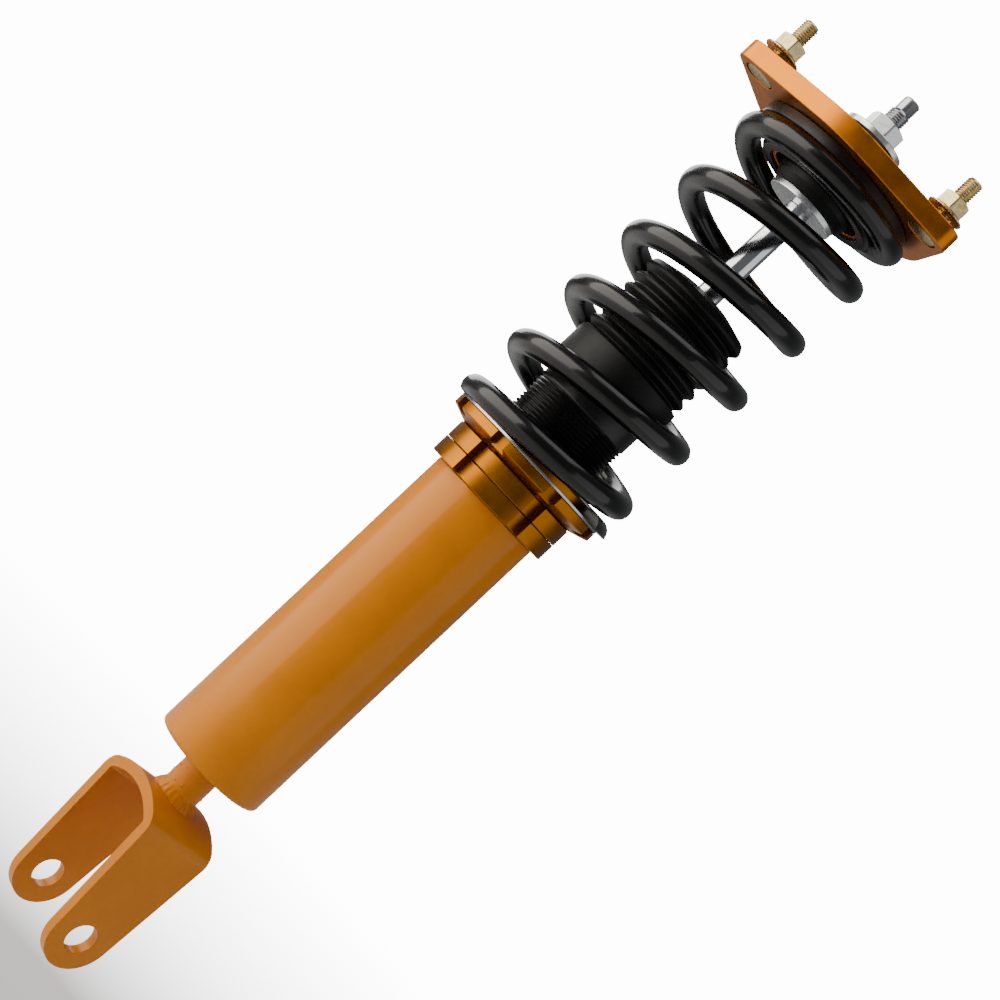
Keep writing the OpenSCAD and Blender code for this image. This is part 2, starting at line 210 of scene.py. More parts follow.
def pierced_plate(name, outline, z0, z1, edge, holes, materials):
    """A plate with a rounded rim. A hole is (x, y, [(radius, height), ...]) from below to above."""
    bm = bmesh.new()

    def loop(points, z):
        return [bm.verts.new((x * MM, y * MM, z * MM)) for x, y in points]

    def wall(a, b):
        for i in range(len(a)):
            n = (i + 1) % len(a)
            bm.faces.new((a[i], a[n], b[n], b[i]))

    def rim_edges(ring):
        return [bm.edges.get((ring[i], ring[(i + 1) % len(ring)])) for i in range(len(ring))]

    offsets = quarter(edge)
    rings = [loop(inset(outline, d), z0 + up) for d, up in offsets]
    rings += [loop(inset(outline, d), z1 - up) for d, up in reversed(offsets)]
    for a, b in zip(rings, rings[1:]):
        wall(a, b)
    caps = [rim_edges(rings[0]), rim_edges(rings[-1])]
    for x, y, rows in holes:
        count = max(48, int(rows[0][0] * 5))
        turns = [2 * math.pi * i / count for i in range(count)]
        circle = [(math.cos(a), math.sin(a)) for a in turns]
        bored = [loop([(x + r * c, y + r * s) for c, s in circle], z) for r, z in rows]
        for a, b in zip(bored, bored[1:]):
            wall(b, a)
        caps[0] += rim_edges(bored[0])
        caps[1] += rim_edges(bored[-1])
    for edges in caps:
        bmesh.ops.triangle_fill(bm, edges=edges, use_beauty=True)
    bmesh.ops.recalc_face_normals(bm, faces=bm.faces)
    mesh = bpy.data.meshes.new(name)
    bm.to_mesh(mesh)
    bm.free()
    return linked(name, mesh, materials)


def softened(node, size, materials, sharp=25, steps=3):
    """A copy of a CAD node with its doubles merged and its sharp edges rounded."""
    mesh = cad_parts[node].data.copy()
    mesh.materials.clear()
    obj = linked(node + "_finished", mesh, materials)
    bm = bmesh.new()
    bm.from_mesh(mesh)
    bmesh.ops.remove_doubles(bm, verts=bm.verts, dist=2e-6)
    bmesh.ops.dissolve_limit(
        bm, angle_limit=math.radians(0.6), verts=bm.verts, edges=bm.edges, use_dissolve_boundaries=False
    )
    bmesh.ops.recalc_face_normals(bm, faces=bm.faces)
    bm.to_mesh(mesh)
    bm.free()
    bevel = obj.modifiers.new("rounded edges", "BEVEL")
    bevel.width = size * MM
    bevel.segments = steps
    bevel.limit_method = "ANGLE"
    bevel.angle_limit = math.radians(sharp)
    applied(obj)
    return shaded(obj, sharp)


def hex_radius(angle, across):
    """Distance from a hexagon's centre to its edge, with its corners a little worn."""
    turn = (angle + math.pi / 6) % (math.pi / 3) - math.pi / 6
    worn_corner = 0.5675
    return min(across / 2 / math.cos(turn), across * worn_corner)


# ---- Materials ----

def srgb(code):
    """An sRGB hex colour as the linear values that a shader takes."""
    parts = [int(code[i:i + 2], 16) / 255 for i in (1, 3, 5)]
    return tuple(p / 12.92 if p <= 0.04045 else ((p + 0.055) / 1.055) ** 2.4 for p in parts) + (1.0,)


def add(tree, kind, inputs=None, **settings):
    """Adds a node, sets it, and fills its sockets with values or links."""
    node = tree.nodes.new(kind)
    for name, value in settings.items():
        setattr(node, name, value)
    for socket, value in (inputs or {}).items():
        if isinstance(value, bpy.types.NodeSocket):
            tree.links.new(value, node.inputs[socket])
        else:
            node.inputs[socket].default_value = value
    return node


def started(name, **sockets):
    """A material with a Principled shader: its name, its tree, its shader and Object coordinates."""
    material = bpy.data.materials.new(name)
    material.use_nodes = True
    tree = material.node_tree
    tree.nodes.clear()
    inputs = {key.replace("_", " "): value for key, value in sockets.items()}
    shader = add(tree, "ShaderNodeBsdfPrincipled", inputs)
    add(tree, "ShaderNodeOutputMaterial", {"Surface": shader.outputs[0]})
    place = add(tree, "ShaderNodeTexCoord").outputs["Object"]
    return material, tree, shader, place


def mottled(tree, shader, place, size, tones, rough, detail=3.0):
    """Colour and roughness that vary in patches of a size in millimetres."""
    patch = add(tree, "ShaderNodeTexNoise", {
        "Vector": place, "Scale": 1 / (size * MM), "Detail": detail})
    ramp = add(tree, "ShaderNodeValToRGB", {"Fac": patch.outputs[0]})
    steps = ramp.color_ramp.elements
    while len(steps) < len(tones):
        steps.new(0.5)
    for i, tone in enumerate(tones):
        steps[i].position = 0.32 + 0.36 * i / max(1, len(tones) - 1)
        steps[i].color = srgb(tone)
    tree.links.new(ramp.outputs[0], shader.inputs["Base Color"])
    spread = add(tree, "ShaderNodeMapRange", {
        "Value": patch.outputs[0], "From Min": 0.3, "From Max": 0.7,
        "To Min": rough[0], "To Max": rough[1]})
    tree.links.new(spread.outputs[0], shader.inputs["Roughness"])


def raised(tree, shader, height, depth, below=None):
    """Bump of a depth in millimetres; below is the normal of a coarser bump under it."""
    inputs = {"Height": height, "Distance": depth * MM, "Strength": 1.0}
    if below:
        inputs["Normal"] = below
    bump = add(tree, "ShaderNodeBump", inputs)
    tree.links.new(bump.outputs[0], shader.inputs["Normal"])
    return bump.outputs[0]


def gold_gloss_paint():
    """Sprayed gold-orange enamel on steel: a warm even colour under gloss, with slight orange peel."""
    material, tree, shader, place = started(
        "gold_gloss_paint", Coat_Weight=0.25, Coat_Roughness=0.12, Specular_Tint=srgb("#FFB860"))
    mottled(tree, shader, place, 22, ["#BE6E00", "#C67400"], (0.36, 0.44), 4.0)
    peel = add(tree, "ShaderNodeTexNoise", {"Vector": place, "Scale": 1 / (1.6 * MM), "Detail": 2.0})
    # Dust nibs in the paint, drawn a little coarser than real ones so that they show
    nib = add(tree, "ShaderNodeTexVoronoi", {"Vector": place, "Scale": 1 / (5 * MM)})
    spot = add(tree, "ShaderNodeMapRange", {
        "Value": nib.outputs["Distance"], "From Min": 0.0, "From Max": 0.08,
        "To Min": 1.0, "To Max": 0.0})
    under = raised(tree, shader, peel.outputs[0], 0.02)
    raised(tree, shader, spot.outputs[0], 0.02, under)
    return material


def gold_anodised(name, tones, line, grain):
    """Gold anodised aluminium: dyed satin metal with fine lines left by the lathe or the mill."""
    material, tree, shader, place = started(name, Metallic=1.0)
    mottled(tree, shader, place, 9, tones, (0.30, 0.38))
    # Tool feed drawn at 0.5 to 0.7 mm, coarser than the real 0.1 mm, so that it shows
    spin = add(tree, "ShaderNodeMapping", {"Vector": place, "Scale": grain})
    lines = add(tree, "ShaderNodeTexNoise", {
        "Vector": spin.outputs[0], "Scale": 1 / (line * MM), "Detail": 3.0})
    raised(tree, shader, lines.outputs[0], 0.012)
    return material


def black_spring_coat():
    """Black powder coat on spring steel: deep gloss with a faint orange peel."""
    material, tree, shader, place = started(
        "black_gloss_powder_coat", Specular_IOR_Level=0.25, Coat_Weight=0.3, Coat_Roughness=0.06)
    mottled(tree, shader, place, 14, ["#020202", "#040404"], (0.24, 0.30))
    peel = add(tree, "ShaderNodeTexNoise", {"Vector": place, "Scale": 1 / (1.8 * MM), "Detail": 1.5})
    raised(tree, shader, peel.outputs[0], 0.035)
    return material


def black_hard_coat():
    """Black hard-coat on machined metal: dark satin with a fine grit."""
    material, tree, shader, place = started("black_satin_hard_coat", Metallic=0.35)
    mottled(tree, shader, place, 6, ["#060607", "#0C0C0E"], (0.30, 0.42))
    grit = add(tree, "ShaderNodeTexNoise", {"Vector": place, "Scale": 1 / (0.5 * MM), "Detail": 2.0})
    raised(tree, shader, grit.outputs[0], 0.01)
    return material


def moulded_rubber():
    """Moulded black rubber: satin, a little dusty, with a fine sparked grain from the mould."""
    material, tree, shader, place = started("black_moulded_rubber", Specular_IOR_Level=0.2)
    mottled(tree, shader, place, 8, ["#060606", "#0E0E0E"], (0.42, 0.56), 5.0)
    grain = add(tree, "ShaderNodeTexNoise", {"Vector": place, "Scale": 1 / (0.6 * MM), "Detail": 3.0})
    raised(tree, shader, grain.outputs[0], 0.025)
    return material


def hard_chrome():
    """Ground hard chrome: a mirror with faint lines round the rod."""
    material, tree, shader, place = started("ground_hard_chrome", Metallic=1.0)
    mottled(tree, shader, place, 12, ["#C9CCD2", "#D9DCE0"], (0.12, 0.18))
    ring = add(tree, "ShaderNodeMapping", {"Vector": place, "Scale": (0.04, 0.04, 1.0)})
    lines = add(tree, "ShaderNodeTexNoise", {
        "Vector": ring.outputs[0], "Scale": 1 / (0.4 * MM), "Detail": 2.0})
    raised(tree, shader, lines.outputs[0], 0.003)
    return material


def zinc_plate(name, tones, rough):
    """Zinc plate under a passivation: satin metal with soft clouds of tint."""
    material, tree, shader, place = started(name, Metallic=1.0)
    mottled(tree, shader, place, 3.2, tones, rough, 4.0)
    grain = add(tree, "ShaderNodeTexNoise", {"Vector": place, "Scale": 1 / (0.4 * MM), "Detail": 2.0})
    raised(tree, shader, grain.outputs[0], 0.008)
    return material


def machined(name, tones, rough, line):
    """Bare turned metal: satin, with fine lines round the axis."""
    material, tree, shader, place = started(name, Metallic=1.0)
    mottled(tree, shader, place, 8, tones, rough)
    ring = add(tree, "ShaderNodeMapping", {"Vector": place, "Scale": (0.1, 0.1, 1.0)})
    lines = add(tree, "ShaderNodeTexNoise", {
        "Vector": ring.outputs[0], "Scale": 1 / (line * MM), "Detail": 2.0})
    raised(tree, shader, lines.outputs[0], 0.01)
    return material


def urethane_foam():
    """Microcellular urethane: dull ochre with fine open cells."""
    material, tree, shader, place = started("ochre_urethane_foam")
    mottled(tree, shader, place, 4, ["#A8904E", "#BFA560"], (0.7, 0.85))
    cells = add(tree, "ShaderNodeTexVoronoi", {"Vector": place, "Scale": 1 / (0.7 * MM)})
    raised(tree, shader, cells.outputs["Distance"], 0.08)
    return material


def bearing_plastic():
    """Bronze-filled bearing plastic: matt brown, speckled like its metal filling."""
    material, tree, shader, place = started("bronze_filled_plastic", Metallic=0.2)
    mottled(tree, shader, place, 1.2, ["#4A3320", "#6B4C2C"], (0.5, 0.6))
    return material


paint = gold_gloss_paint()
ring_gold = gold_anodised("gold_anodised_turned", ["#965A0A", "#A2640E"], 0.5, (0.06, 0.06, 1.0))
plate_gold = gold_anodised("gold_anodised_milled", ["#C4700C", "#D07A12"], 0.7, (0.05, 0.05, 1.0))
spring_black = black_spring_coat()
coat_black = black_hard_coat()
rubber = moulded_rubber()
chrome = hard_chrome()
yellow_zinc = zinc_plate("yellow_zinc_plate", ["#B9A262", "#D9C98C", "#C9AE8A", "#CFCB95"], (0.24, 0.36))
white_zinc = zinc_plate("white_zinc_plate", ["#D4D9DC", "#E0E3E4", "#DADDDD"], (0.26, 0.34))
bright_steel = machined("ground_bright_steel", ["#A9ABAE", "#BCBEC0"], (0.18, 0.26), 0.4)
bare_aluminium = machined("turned_aluminium", ["#B4B6B9", "#C6C8CA"], (0.28, 0.36), 0.5)
foam = urethane_foam()
band_plastic = bearing_plastic()


# ---- Geometry Nodes trees ----

def new_tree(name, inputs):
    """An empty geometry tree with named inputs: (name, socket type, default)."""
    tree = bpy.data.node_groups.new(name, "GeometryNodeTree")
    tree.interface.new_socket(name="Geometry", in_out="OUTPUT", socket_type="NodeSocketGeometry")
    tree.interface.new_socket(name="Geometry", in_out="INPUT", socket_type="NodeSocketGeometry")
    for label, kind, default in inputs:
        socket = tree.interface.new_socket(name=label, in_out="INPUT", socket_type=kind)
        if default is not None:
            socket.default_value = default
    given = add(tree, "NodeGroupInput")
    return tree, given.outputs


def ended(tree, instances, material):
    """Realizes the instances, sets the material and joins the tree's output."""
    real = add(tree, "GeometryNodeRealizeInstances", {"Geometry": instances})
    finish = add(tree, "GeometryNodeSetMaterial", {"Geometry": real.outputs[0], "Material": material})
    add(tree, "NodeGroupOutput", {"Geometry": finish.outputs[0]})
    return tree


def grown(obj, tree, values):
    """Runs a tree on the object with its named inputs, and keeps the result as plain mesh."""
    grow = obj.modifiers.new(tree.name, "NODES")
    grow.node_group = tree
    for item in tree.interface.items_tree:
        if item.in_out == "INPUT" and item.name in values:
            grow[item.identifier] = values[item.name]
    applied(obj)
    return obj


def circle_tree():
    """Copies a piece round the axis, each turned by its own small angle."""
    tree, given = new_tree("pieces_round_a_circle", [
        ("Count", "NodeSocketInt", 3),
        ("Circle radius", "NodeSocketFloat", 0.05),
        ("First angle", "NodeSocketFloat", 0.0),
        ("Loose turn", "NodeSocketFloat", 0.0),
        ("Seed", "NodeSocketInt", 0),
        ("Finish", "NodeSocketMaterial", None),
    ])
    index = add(tree, "GeometryNodeInputIndex")
    share = add(tree, "ShaderNodeMath", {0: index.outputs[0], 1: given["Count"]}, operation="DIVIDE")
    angle = add(tree, "ShaderNodeMath", {0: share.outputs[0], 1: 2 * math.pi, 2: given["First angle"]},
                operation="MULTIPLY_ADD")
    c = add(tree, "ShaderNodeMath", {0: angle.outputs[0]}, operation="COSINE")
    s = add(tree, "ShaderNodeMath", {0: angle.outputs[0]}, operation="SINE")
    unit = add(tree, "ShaderNodeCombineXYZ", {"X": c.outputs[0], "Y": s.outputs[0]})
    spot = add(tree, "ShaderNodeVectorMath", {0: unit.outputs[0], "Scale": given["Circle radius"]},
               operation="SCALE")
    points = add(tree, "GeometryNodePoints", {"Count": given["Count"], "Position": spot.outputs[0]})
    own = add(tree, "FunctionNodeRandomValue", {"ID": index.outputs[0], "Seed": given["Seed"]},
              data_type="FLOAT")
    turn = add(tree, "ShaderNodeMath",
               {0: own.outputs[1], 1: given["Loose turn"], 2: angle.outputs[0]}, operation="MULTIPLY_ADD")
    spin = add(tree, "ShaderNodeCombineXYZ", {"Z": turn.outputs[0]})
    copies = add(tree, "GeometryNodeInstanceOnPoints", {
        "Points": points.outputs[0], "Instance": given["Geometry"], "Rotation": spin.outputs[0]})
    return ended(tree, copies.outputs[0], given["Finish"])


def spatter_tree():
    """Small beads of weld spatter thrown on to a surface."""
    tree, given = new_tree("weld_spatter", [
        ("Density", "NodeSocketFloat", 1000.0),
        ("Bead radius", "NodeSocketFloat", 0.0004),
        ("Seed", "NodeSocketInt", 0),
        ("Finish", "NodeSocketMaterial", None),
    ])
    points = add(tree, "GeometryNodeDistributePointsOnFaces", {
        "Mesh": given["Geometry"], "Density": given["Density"], "Seed": given["Seed"]})
    bead = add(tree, "GeometryNodeMeshIcoSphere", {"Radius": given["Bead radius"], "Subdivisions": 2})
    soft = add(tree, "GeometryNodeSetShadeSmooth", {"Geometry": bead.outputs[0]})
    size = add(tree, "FunctionNodeRandomValue", {2: 0.4, 3: 1.3, "Seed": given["Seed"]},
               data_type="FLOAT")
    copies = add(tree, "GeometryNodeInstanceOnPoints", {
        "Points": points.outputs[0], "Instance": soft.outputs[0], "Scale": size.outputs[1]})
    return ended(tree, copies.outputs[0], given["Finish"])


def coil_tree():
    """Sweeps a wire along a path and grinds both ends flat between two heights."""
    tree, given = new_tree("ground_wire_coil", [
        ("Wire radius", "NodeSocketFloat", 0.006),
        ("Sides", "NodeSocketInt", 32),
        ("Ground low", "NodeSocketFloat", 0.0),
        ("Ground high", "NodeSocketFloat", 1.0),
        ("Finish", "NodeSocketMaterial", None),
    ])
    along = add(tree, "GeometryNodeSplineParameter")
    marked = add(tree, "GeometryNodeStoreNamedAttribute", {
        "Geometry": given["Geometry"], "Name": "along", "Value": along.outputs["Factor"]},
        data_type="FLOAT", domain="POINT")
    section = add(tree, "GeometryNodeCurvePrimitiveCircle", {
        "Radius": given["Wire radius"], "Resolution": given["Sides"]})
    swept = add(tree, "GeometryNodeCurveToMesh", {
        "Curve": marked.outputs[0], "Profile Curve": section.outputs[0], "Fill Caps": True})
    here = add(tree, "GeometryNodeInputPosition")
    split = add(tree, "ShaderNodeSeparateXYZ", {0: here.outputs[0]})
    foot = add(tree, "ShaderNodeMath", {0: split.outputs[2], 1: given["Ground low"]}, operation="MAXIMUM")
    head = add(tree, "ShaderNodeMath", {0: foot.outputs[0], 1: given["Ground high"]}, operation="MINIMUM")
    ground = add(tree, "ShaderNodeCombineXYZ", {
        0: split.outputs[0], 1: split.outputs[1], 2: head.outputs[0]})
    placed = add(tree, "GeometryNodeSetPosition", {
        "Geometry": swept.outputs[0], "Position": ground.outputs[0]})
    return ended(tree, placed.outputs[0], given["Finish"])


# ---- Bracket: clevis, neck, welds and lower tube ----

clevis = softened("clevis", 0.7, [paint])
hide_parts("clevis")
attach(clevis, "bracket")

base_z = low("tube_base")
crown_z = high("clevis")
neck_r = radius("clevis_neck")
CROWN_R = 41.83
CROWN_HALF_W = 20
crown_centre_z = crown_z - CROWN_R

neck = turned("welded_neck", [
    (0, crown_z - 3), (neck_r, crown_z - 3), (neck_r, base_z + 0.2), (0, base_z + 0.2)], [paint])
shaded(neck)
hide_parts("clevis_neck")
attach(neck, "bracket")


def weld_bead(name, height, reach, foot, ripples, seed):
    """A fillet weld round the neck: overlapping scales, a little uneven. foot(x) is the height of
    the surface it stands on; a negative height hangs it from that surface."""
    verts, faces = [], []
    around, across = 240, 9
    way = math.copysign(1, height)
    for i in range(around):
        a = 2 * math.pi * i / around
        uneven = noise.noise(Vector((3 * math.cos(a), 3 * math.sin(a), seed)))
        scale = abs(math.sin(ripples * a / 2 + 0.6 * uneven))
        grow = 1 + 0.16 * uneven
        for j in range(across):
            t = j / (across - 1)
            rise = height * grow * (1 - t) ** 1.5
            out = reach * grow * t ** 1.25
            swell = (0.3 + 0.26 * scale) * math.sin(math.pi * t)
            r = neck_r + out + swell
            x = r * math.cos(a)
            verts.append((x, r * math.sin(a), foot(x) + rise + way * 0.6 * swell))
        buried_r = neck_r - 0.8
        for r, h in ((neck_r + reach * 0.7, -0.8 * way), (buried_r, -0.8 * way), (buried_r, 0.9 * height)):
            x = r * math.cos(a)
            verts.append((x, r * math.sin(a), foot(x) + h))
    ring = across + 3
    for i in range(around):
        n = (i + 1) % around
        for j in range(ring):
            k = (j + 1) % ring
            faces.append((i * ring + j, n * ring + j, n * ring + k, i * ring + k))
    return shaded(piece(name, verts, faces, [paint]), 60)


def crown_surface(x):
    return crown_centre_z + math.sqrt(CROWN_R ** 2 - min(abs(x), CROWN_HALF_W) ** 2)


def base_surface(x):
    return base_z


crown_weld = weld_bead("crown_weld", 4.4, 2.9, crown_surface, 24, 1.0)
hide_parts("weld_beads")
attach(crown_weld, "bracket")
base_weld = weld_bead("base_weld", -3.2, 3.0, base_surface, 22, 5.0)
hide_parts("weld_beads")
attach(base_weld, "bracket")

spatter = turned("weld_spatter", [(neck_r, crown_z + 5), (neck_r, base_z - 3.5)],
                 [paint], 48, closed=False)
grown(spatter, spatter_tree(), {
    "Density": 24000.0, "Bead radius": 0.45 * MM, "Seed": 7, "Finish": paint})
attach(spatter, "bracket")

tube_r = radius("lower_tube")
tube_low, tube_high = low("lower_tube"), high("lower_tube")
bore_r = 25.12
tube = turned("lower_tube_shell", rounded([
    (bore_r, tube_low, 0), (tube_r, tube_low, 0), (tube_r, tube_high), (bore_r, tube_high)],
    0.5), [paint])
shaded(tube, 50)
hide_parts("lower_tube")
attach(tube, "bracket")

end_cap = turned("tube_closed_end", rounded([
    (0, base_z, 0), (tube_r, base_z, 5), (tube_r, tube_low, 0), (bore_r - 0.1, tube_low, 0),
    (bore_r - 0.1, high("tube_base")), (0, high("tube_base"), 0)], 0.5, 10), [paint])
shaded(end_cap, 50)
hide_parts("tube_base")
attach(end_cap, "bracket")


# ---- Lock rings, perch and washer ----

def slotted_outline(r, count, first, width, depth):
    """A circle with straight-sided spanner slots cut into it."""
    points = []
    half = width / 2
    edge = math.asin(half / r)
    for k in range(count):
        a = math.radians(first) + 2 * math.pi * k / count
        c, s = math.cos(a), math.sin(a)
        for x, y in ((math.sqrt(r * r - half * half), -half), (r - depth, -half),
                     (r - depth, half), (math.sqrt(r * r - half * half), half)):
            points.append((x * c - y * s, x * s + y * c))
        gap = 2 * math.pi / count - 2 * edge
        steps = 22
        points += [(r * math.cos(a + edge + gap * i / steps), r * math.sin(a + edge + gap * i / steps))
                   for i in range(1, steps)]
    return points


RING_SLOTS, RING_FIRST, RING_SLOT_W, RING_SLOT_D = 6, -15, 7.6, 5
for ring, body in (("lock_ring_lower", "lower_ring"), ("lock_ring_upper", "upper_ring")):
    z0, z1 = low(ring), high(ring)
    hole = [(bore_r + 0.6, z0), (bore_r, z0 + 0.6), (bore_r, z1 - 0.6), (bore_r + 0.6, z1)]
    outline = slotted_outline(radius(ring), RING_SLOTS, RING_FIRST, RING_SLOT_W, RING_SLOT_D)
    made = pierced_plate(ring + "_finished", outline, z0, z1, 0.55, [(0, 0, hole)], [ring_gold])
    shaded(made)
    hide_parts(ring)
    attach(made, body)

perch = softened("spring_perch", 0.45, [ring_gold])
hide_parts("spring_perch")
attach(perch, "perch")

washer_low, washer_high = low("seat_washer"), high("seat_washer")
washer_r = radius("seat_washer")
WASHER_BORE_R = 34.8
washer = turned("seat_washer_finished", rounded([
    (WASHER_BORE_R, washer_low), (washer_r, washer_low), (washer_r, washer_high),
    (WASHER_BORE_R, washer_high)], 0.25), [bright_steel])
shaded(washer)
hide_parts("seat_washer")
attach(washer, "seat")


# ---- Coil spring ----

SPRING_LOW, SPRING_HIGH = low("coil_spring"), high("coil_spring")
SPRING_LEN = SPRING_HIGH - SPRING_LOW
WIRE_R = 6.0
COIL_R = 41.0
COIL_START, COIL_TURNS = 14.7, 6.32
CLOSED_LOW, CLOSED_HIGH = 0.83, 0.68
TIP_Z = -1.0
SPLIT_TURN = 1.25


def wire_height(t):
    """Height of the wire's centre above the spring's foot at turn t."""
    closed_z = WIRE_R + 0.4
    last = COIL_TURNS - CLOSED_HIGH
    if t < CLOSED_LOW:
        return TIP_Z + (closed_z - TIP_Z) * t / CLOSED_LOW
    if t < last:
        return closed_z + (SPRING_LEN - 2 * closed_z) * (t - CLOSED_LOW) / (last - CLOSED_LOW)
    return SPRING_LEN - closed_z + (closed_z - TIP_Z) * (t - last) / CLOSED_HIGH


def eased_height(t):
    """The same height with the changes of slope spread over a tenth of a turn each way."""
    reach = 0.1
    return sum(wire_height(min(max(t + reach * k / 4, 0), COIL_TURNS)) for k in range(-4, 5)) / 9


PER_TURN = 72
steps = round(COIL_TURNS * PER_TURN)
path = bpy.data.curves.new("spring_path", "CURVE")
path.dimensions = "3D"
line = path.splines.new("POLY")
line.points.add(steps)
for i in range(steps + 1):
    t = COIL_TURNS * i / steps
    a = math.radians(COIL_START) + 2 * math.pi * t
    line.points[i].co = (COIL_R * MM * math.cos(a), COIL_R * MM * math.sin(a),
                         (SPRING_LOW + eased_height(t)) * MM, 1)
coil = bpy.data.objects.new("spring_path", path)
scene.collection.objects.link(coil)
sweep = coil.modifiers.new("wire", "NODES")
sweep.node_group = coil_tree()
for item in sweep.node_group.interface.items_tree:
    given = {"Wire radius": WIRE_R * MM, "Sides": 40, "Ground low": SPRING_LOW * MM,
             "Ground high": SPRING_HIGH * MM, "Finish": spring_black}
    if item.in_out == "INPUT" and item.name in given:
        sweep[item.identifier] = given[item.name]
whole = bpy.data.meshes.new_from_object(coil.evaluated_get(bpy.context.evaluated_depsgraph_get()))
bpy.data.objects.remove(coil)


def spring_part(name, keep):
    """The part of the coil whose place along the wire passes keep(), closed at its cut."""
    bm = bmesh.new()
    bm.from_mesh(whole)
    along = bm.verts.layers.float["along"]
    gone = [f for f in bm.faces if not keep(sum(v[along] for v in f.verts) / len(f.verts))]
    bmesh.ops.delete(bm, geom=gone, context="FACES")
    bmesh.ops.remove_doubles(bm, verts=bm.verts, dist=1e-7)
    bmesh.ops.holes_fill(bm, edges=bm.edges, sides=0)
    bmesh.ops.recalc_face_normals(bm, faces=bm.faces)
    mesh = bpy.data.meshes.new(name)
    bm.to_mesh(mesh)
    bm.free()
    obj = linked(name, mesh, [spring_black])
    shaded(obj, 45)
    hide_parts("coil_spring")
    return obj


cut_share = round(SPLIT_TURN * PER_TURN) / steps
foot_coils = spring_part("spring_foot_coils", lambda s: s < cut_share)
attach(foot_coils, "seat")
main_coils = spring_part("spring_main_coils", lambda s: s > cut_share)
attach(main_coils, "damper")
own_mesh(foot_coils)
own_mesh(main_coils)


# ---- Damper ----

damper_r = radius("damper_tube")
THREAD_TOP = 314.0
DAMPER_BORE_R = 22.02
damper_low, damper_high = low("damper_tube"), high("damper_tube")
damper = screw_turned("threaded_damper_tube", [
    (damper_low, DAMPER_BORE_R, 0), (damper_low, damper_r - 1.4, 0), (damper_low + 1.4, damper_r, 1),
    (THREAD_TOP, damper_r, 1), (THREAD_TOP + 1.2, damper_r, 0), (damper_high, damper_r, 0),
    (damper_high, DAMPER_BORE_R, 0)], 2.0, 1.1, [coat_black], 108, True)
shaded(damper, 70)
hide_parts("damper_tube")
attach(damper, "damper")

boot_low = low("dust_boot")
boot_top = high("dust_boot")
boot_r = radius("dust_boot")
RIDGES = 6
RIDGE_PITCH = 6.8
ridge_z = boot_top - 3.8 - RIDGES * RIDGE_PITCH
valley_r = damper_r + 0.9
WALL = 1.8
outside = [(boot_r, boot_low, 0.8), (boot_r, ridge_z - 1.4, 1.0), (valley_r, ridge_z, 0.8)]
for k in range(RIDGES):
    outside += [(boot_r - 0.2, ridge_z + (k + 0.4) * RIDGE_PITCH, 1.4),
                (boot_r - 0.2, ridge_z + (k + 0.6) * RIDGE_PITCH, 1.4)]
    if k < RIDGES - 1:
        outside.append((valley_r, ridge_z + (k + 1) * RIDGE_PITCH, 0.9))
top_z = ridge_z + RIDGES * RIDGE_PITCH
BOOT_MOUTH_R = 7.1
outside += [(valley_r + 1.5, top_z + 0.2, 1.2), (16, top_z + 3.4, 2), (10, top_z + 3.8, 1),
            (BOOT_MOUTH_R, top_z + 3.8, 0.5)]
inside = [(BOOT_MOUTH_R, top_z + 2, 0.5), (15.5, top_z + 1.6, 1), (valley_r - 0.4, top_z - 1.4, 1)]
for k in reversed(range(RIDGES)):
    inside += [(boot_r - 0.2 - WALL, ridge_z + (k + 0.55) * RIDGE_PITCH, 0.8),
               (boot_r - 0.2 - WALL, ridge_z + (k + 0.45) * RIDGE_PITCH, 0.8)]
    if k > 0:
        inside.append((valley_r - WALL, ridge_z + k * RIDGE_PITCH, 0.6))
inside += [(damper_r + 0.02, ridge_z - 1.4, 0.3), (damper_r + 0.02, boot_low, 0.3)]
boot = turned("bellows_boot", rounded(outside + inside, 0.8, 6), [rubber])
shaded(boot, 50)
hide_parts("dust_boot")
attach(boot, "damper")

stop_z = low("bump_stop")
stop_outline = [(6.5, 0), (18, 0), (19, 2), (19, 8), (15.5, 11), (18, 14), (18, 19), (14.5, 22),
                (16, 25), (15, 30), (11, 33), (6.5, 33)]
bump = turned("foam_bump_stop", rounded([(r, stop_z + up) for r, up in stop_outline], 1.2), [foam])
shaded(bump, 50)
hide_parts("bump_stop")
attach(bump, "damper")


# ---- Piston rod and the stack clamped to it ----

rod_low, rod_high = low("piston_rod"), high("piston_rod")
shoulder_z = high("topout_washer")
support_z = low("support_washer")
pin_z = rod_high - 7
nut_top_z = high("rod_nut")
ROD_R, END_R, BORE_R = 6.0, 5.0, 5.02
rod = screw_turned("chrome_piston_rod", [
    (rod_low, 0, 0), (rod_low, 4.4, 0), (rod_low + 0.6, END_R, 0), (shoulder_z, END_R, 0),
    (shoulder_z, ROD_R, 0), (support_z - 0.5, ROD_R, 0), (support_z, 5.5, 0), (support_z, END_R, 0),
    (nut_top_z - 1.2, END_R, 0), (nut_top_z - 0.4, END_R, 1), (pin_z - 0.8, END_R, 1),
    (pin_z, 4.3, 0), (rod_high - 0.8, 4.3, 0),
    (rod_high, 3.6, 0), (rod_high, 0, 0)], 1.25, 0.68, [chrome, bright_steel], 64, False,
    (pin_z + 0.9, 3.5))
for face in rod.data.polygons:
    if face.center.z > support_z * MM or face.center.z < shoulder_z * MM:
        face.material_index = 1
shaded(rod, 60)
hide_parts("piston_rod")
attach(rod, "rod")


def ringed(name, node, inner, size, material, body):
    """A washer or sleeve: a turned ring with rounded edges, in the node's own box."""
    z0, z1, outer = low(node), high(node), radius(node)
    made = turned(
        name, rounded([(inner, z0), (outer, z0), (outer, z1), (inner, z1)], size), [material])
    shaded(made)
    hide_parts(node)
    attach(made, body)


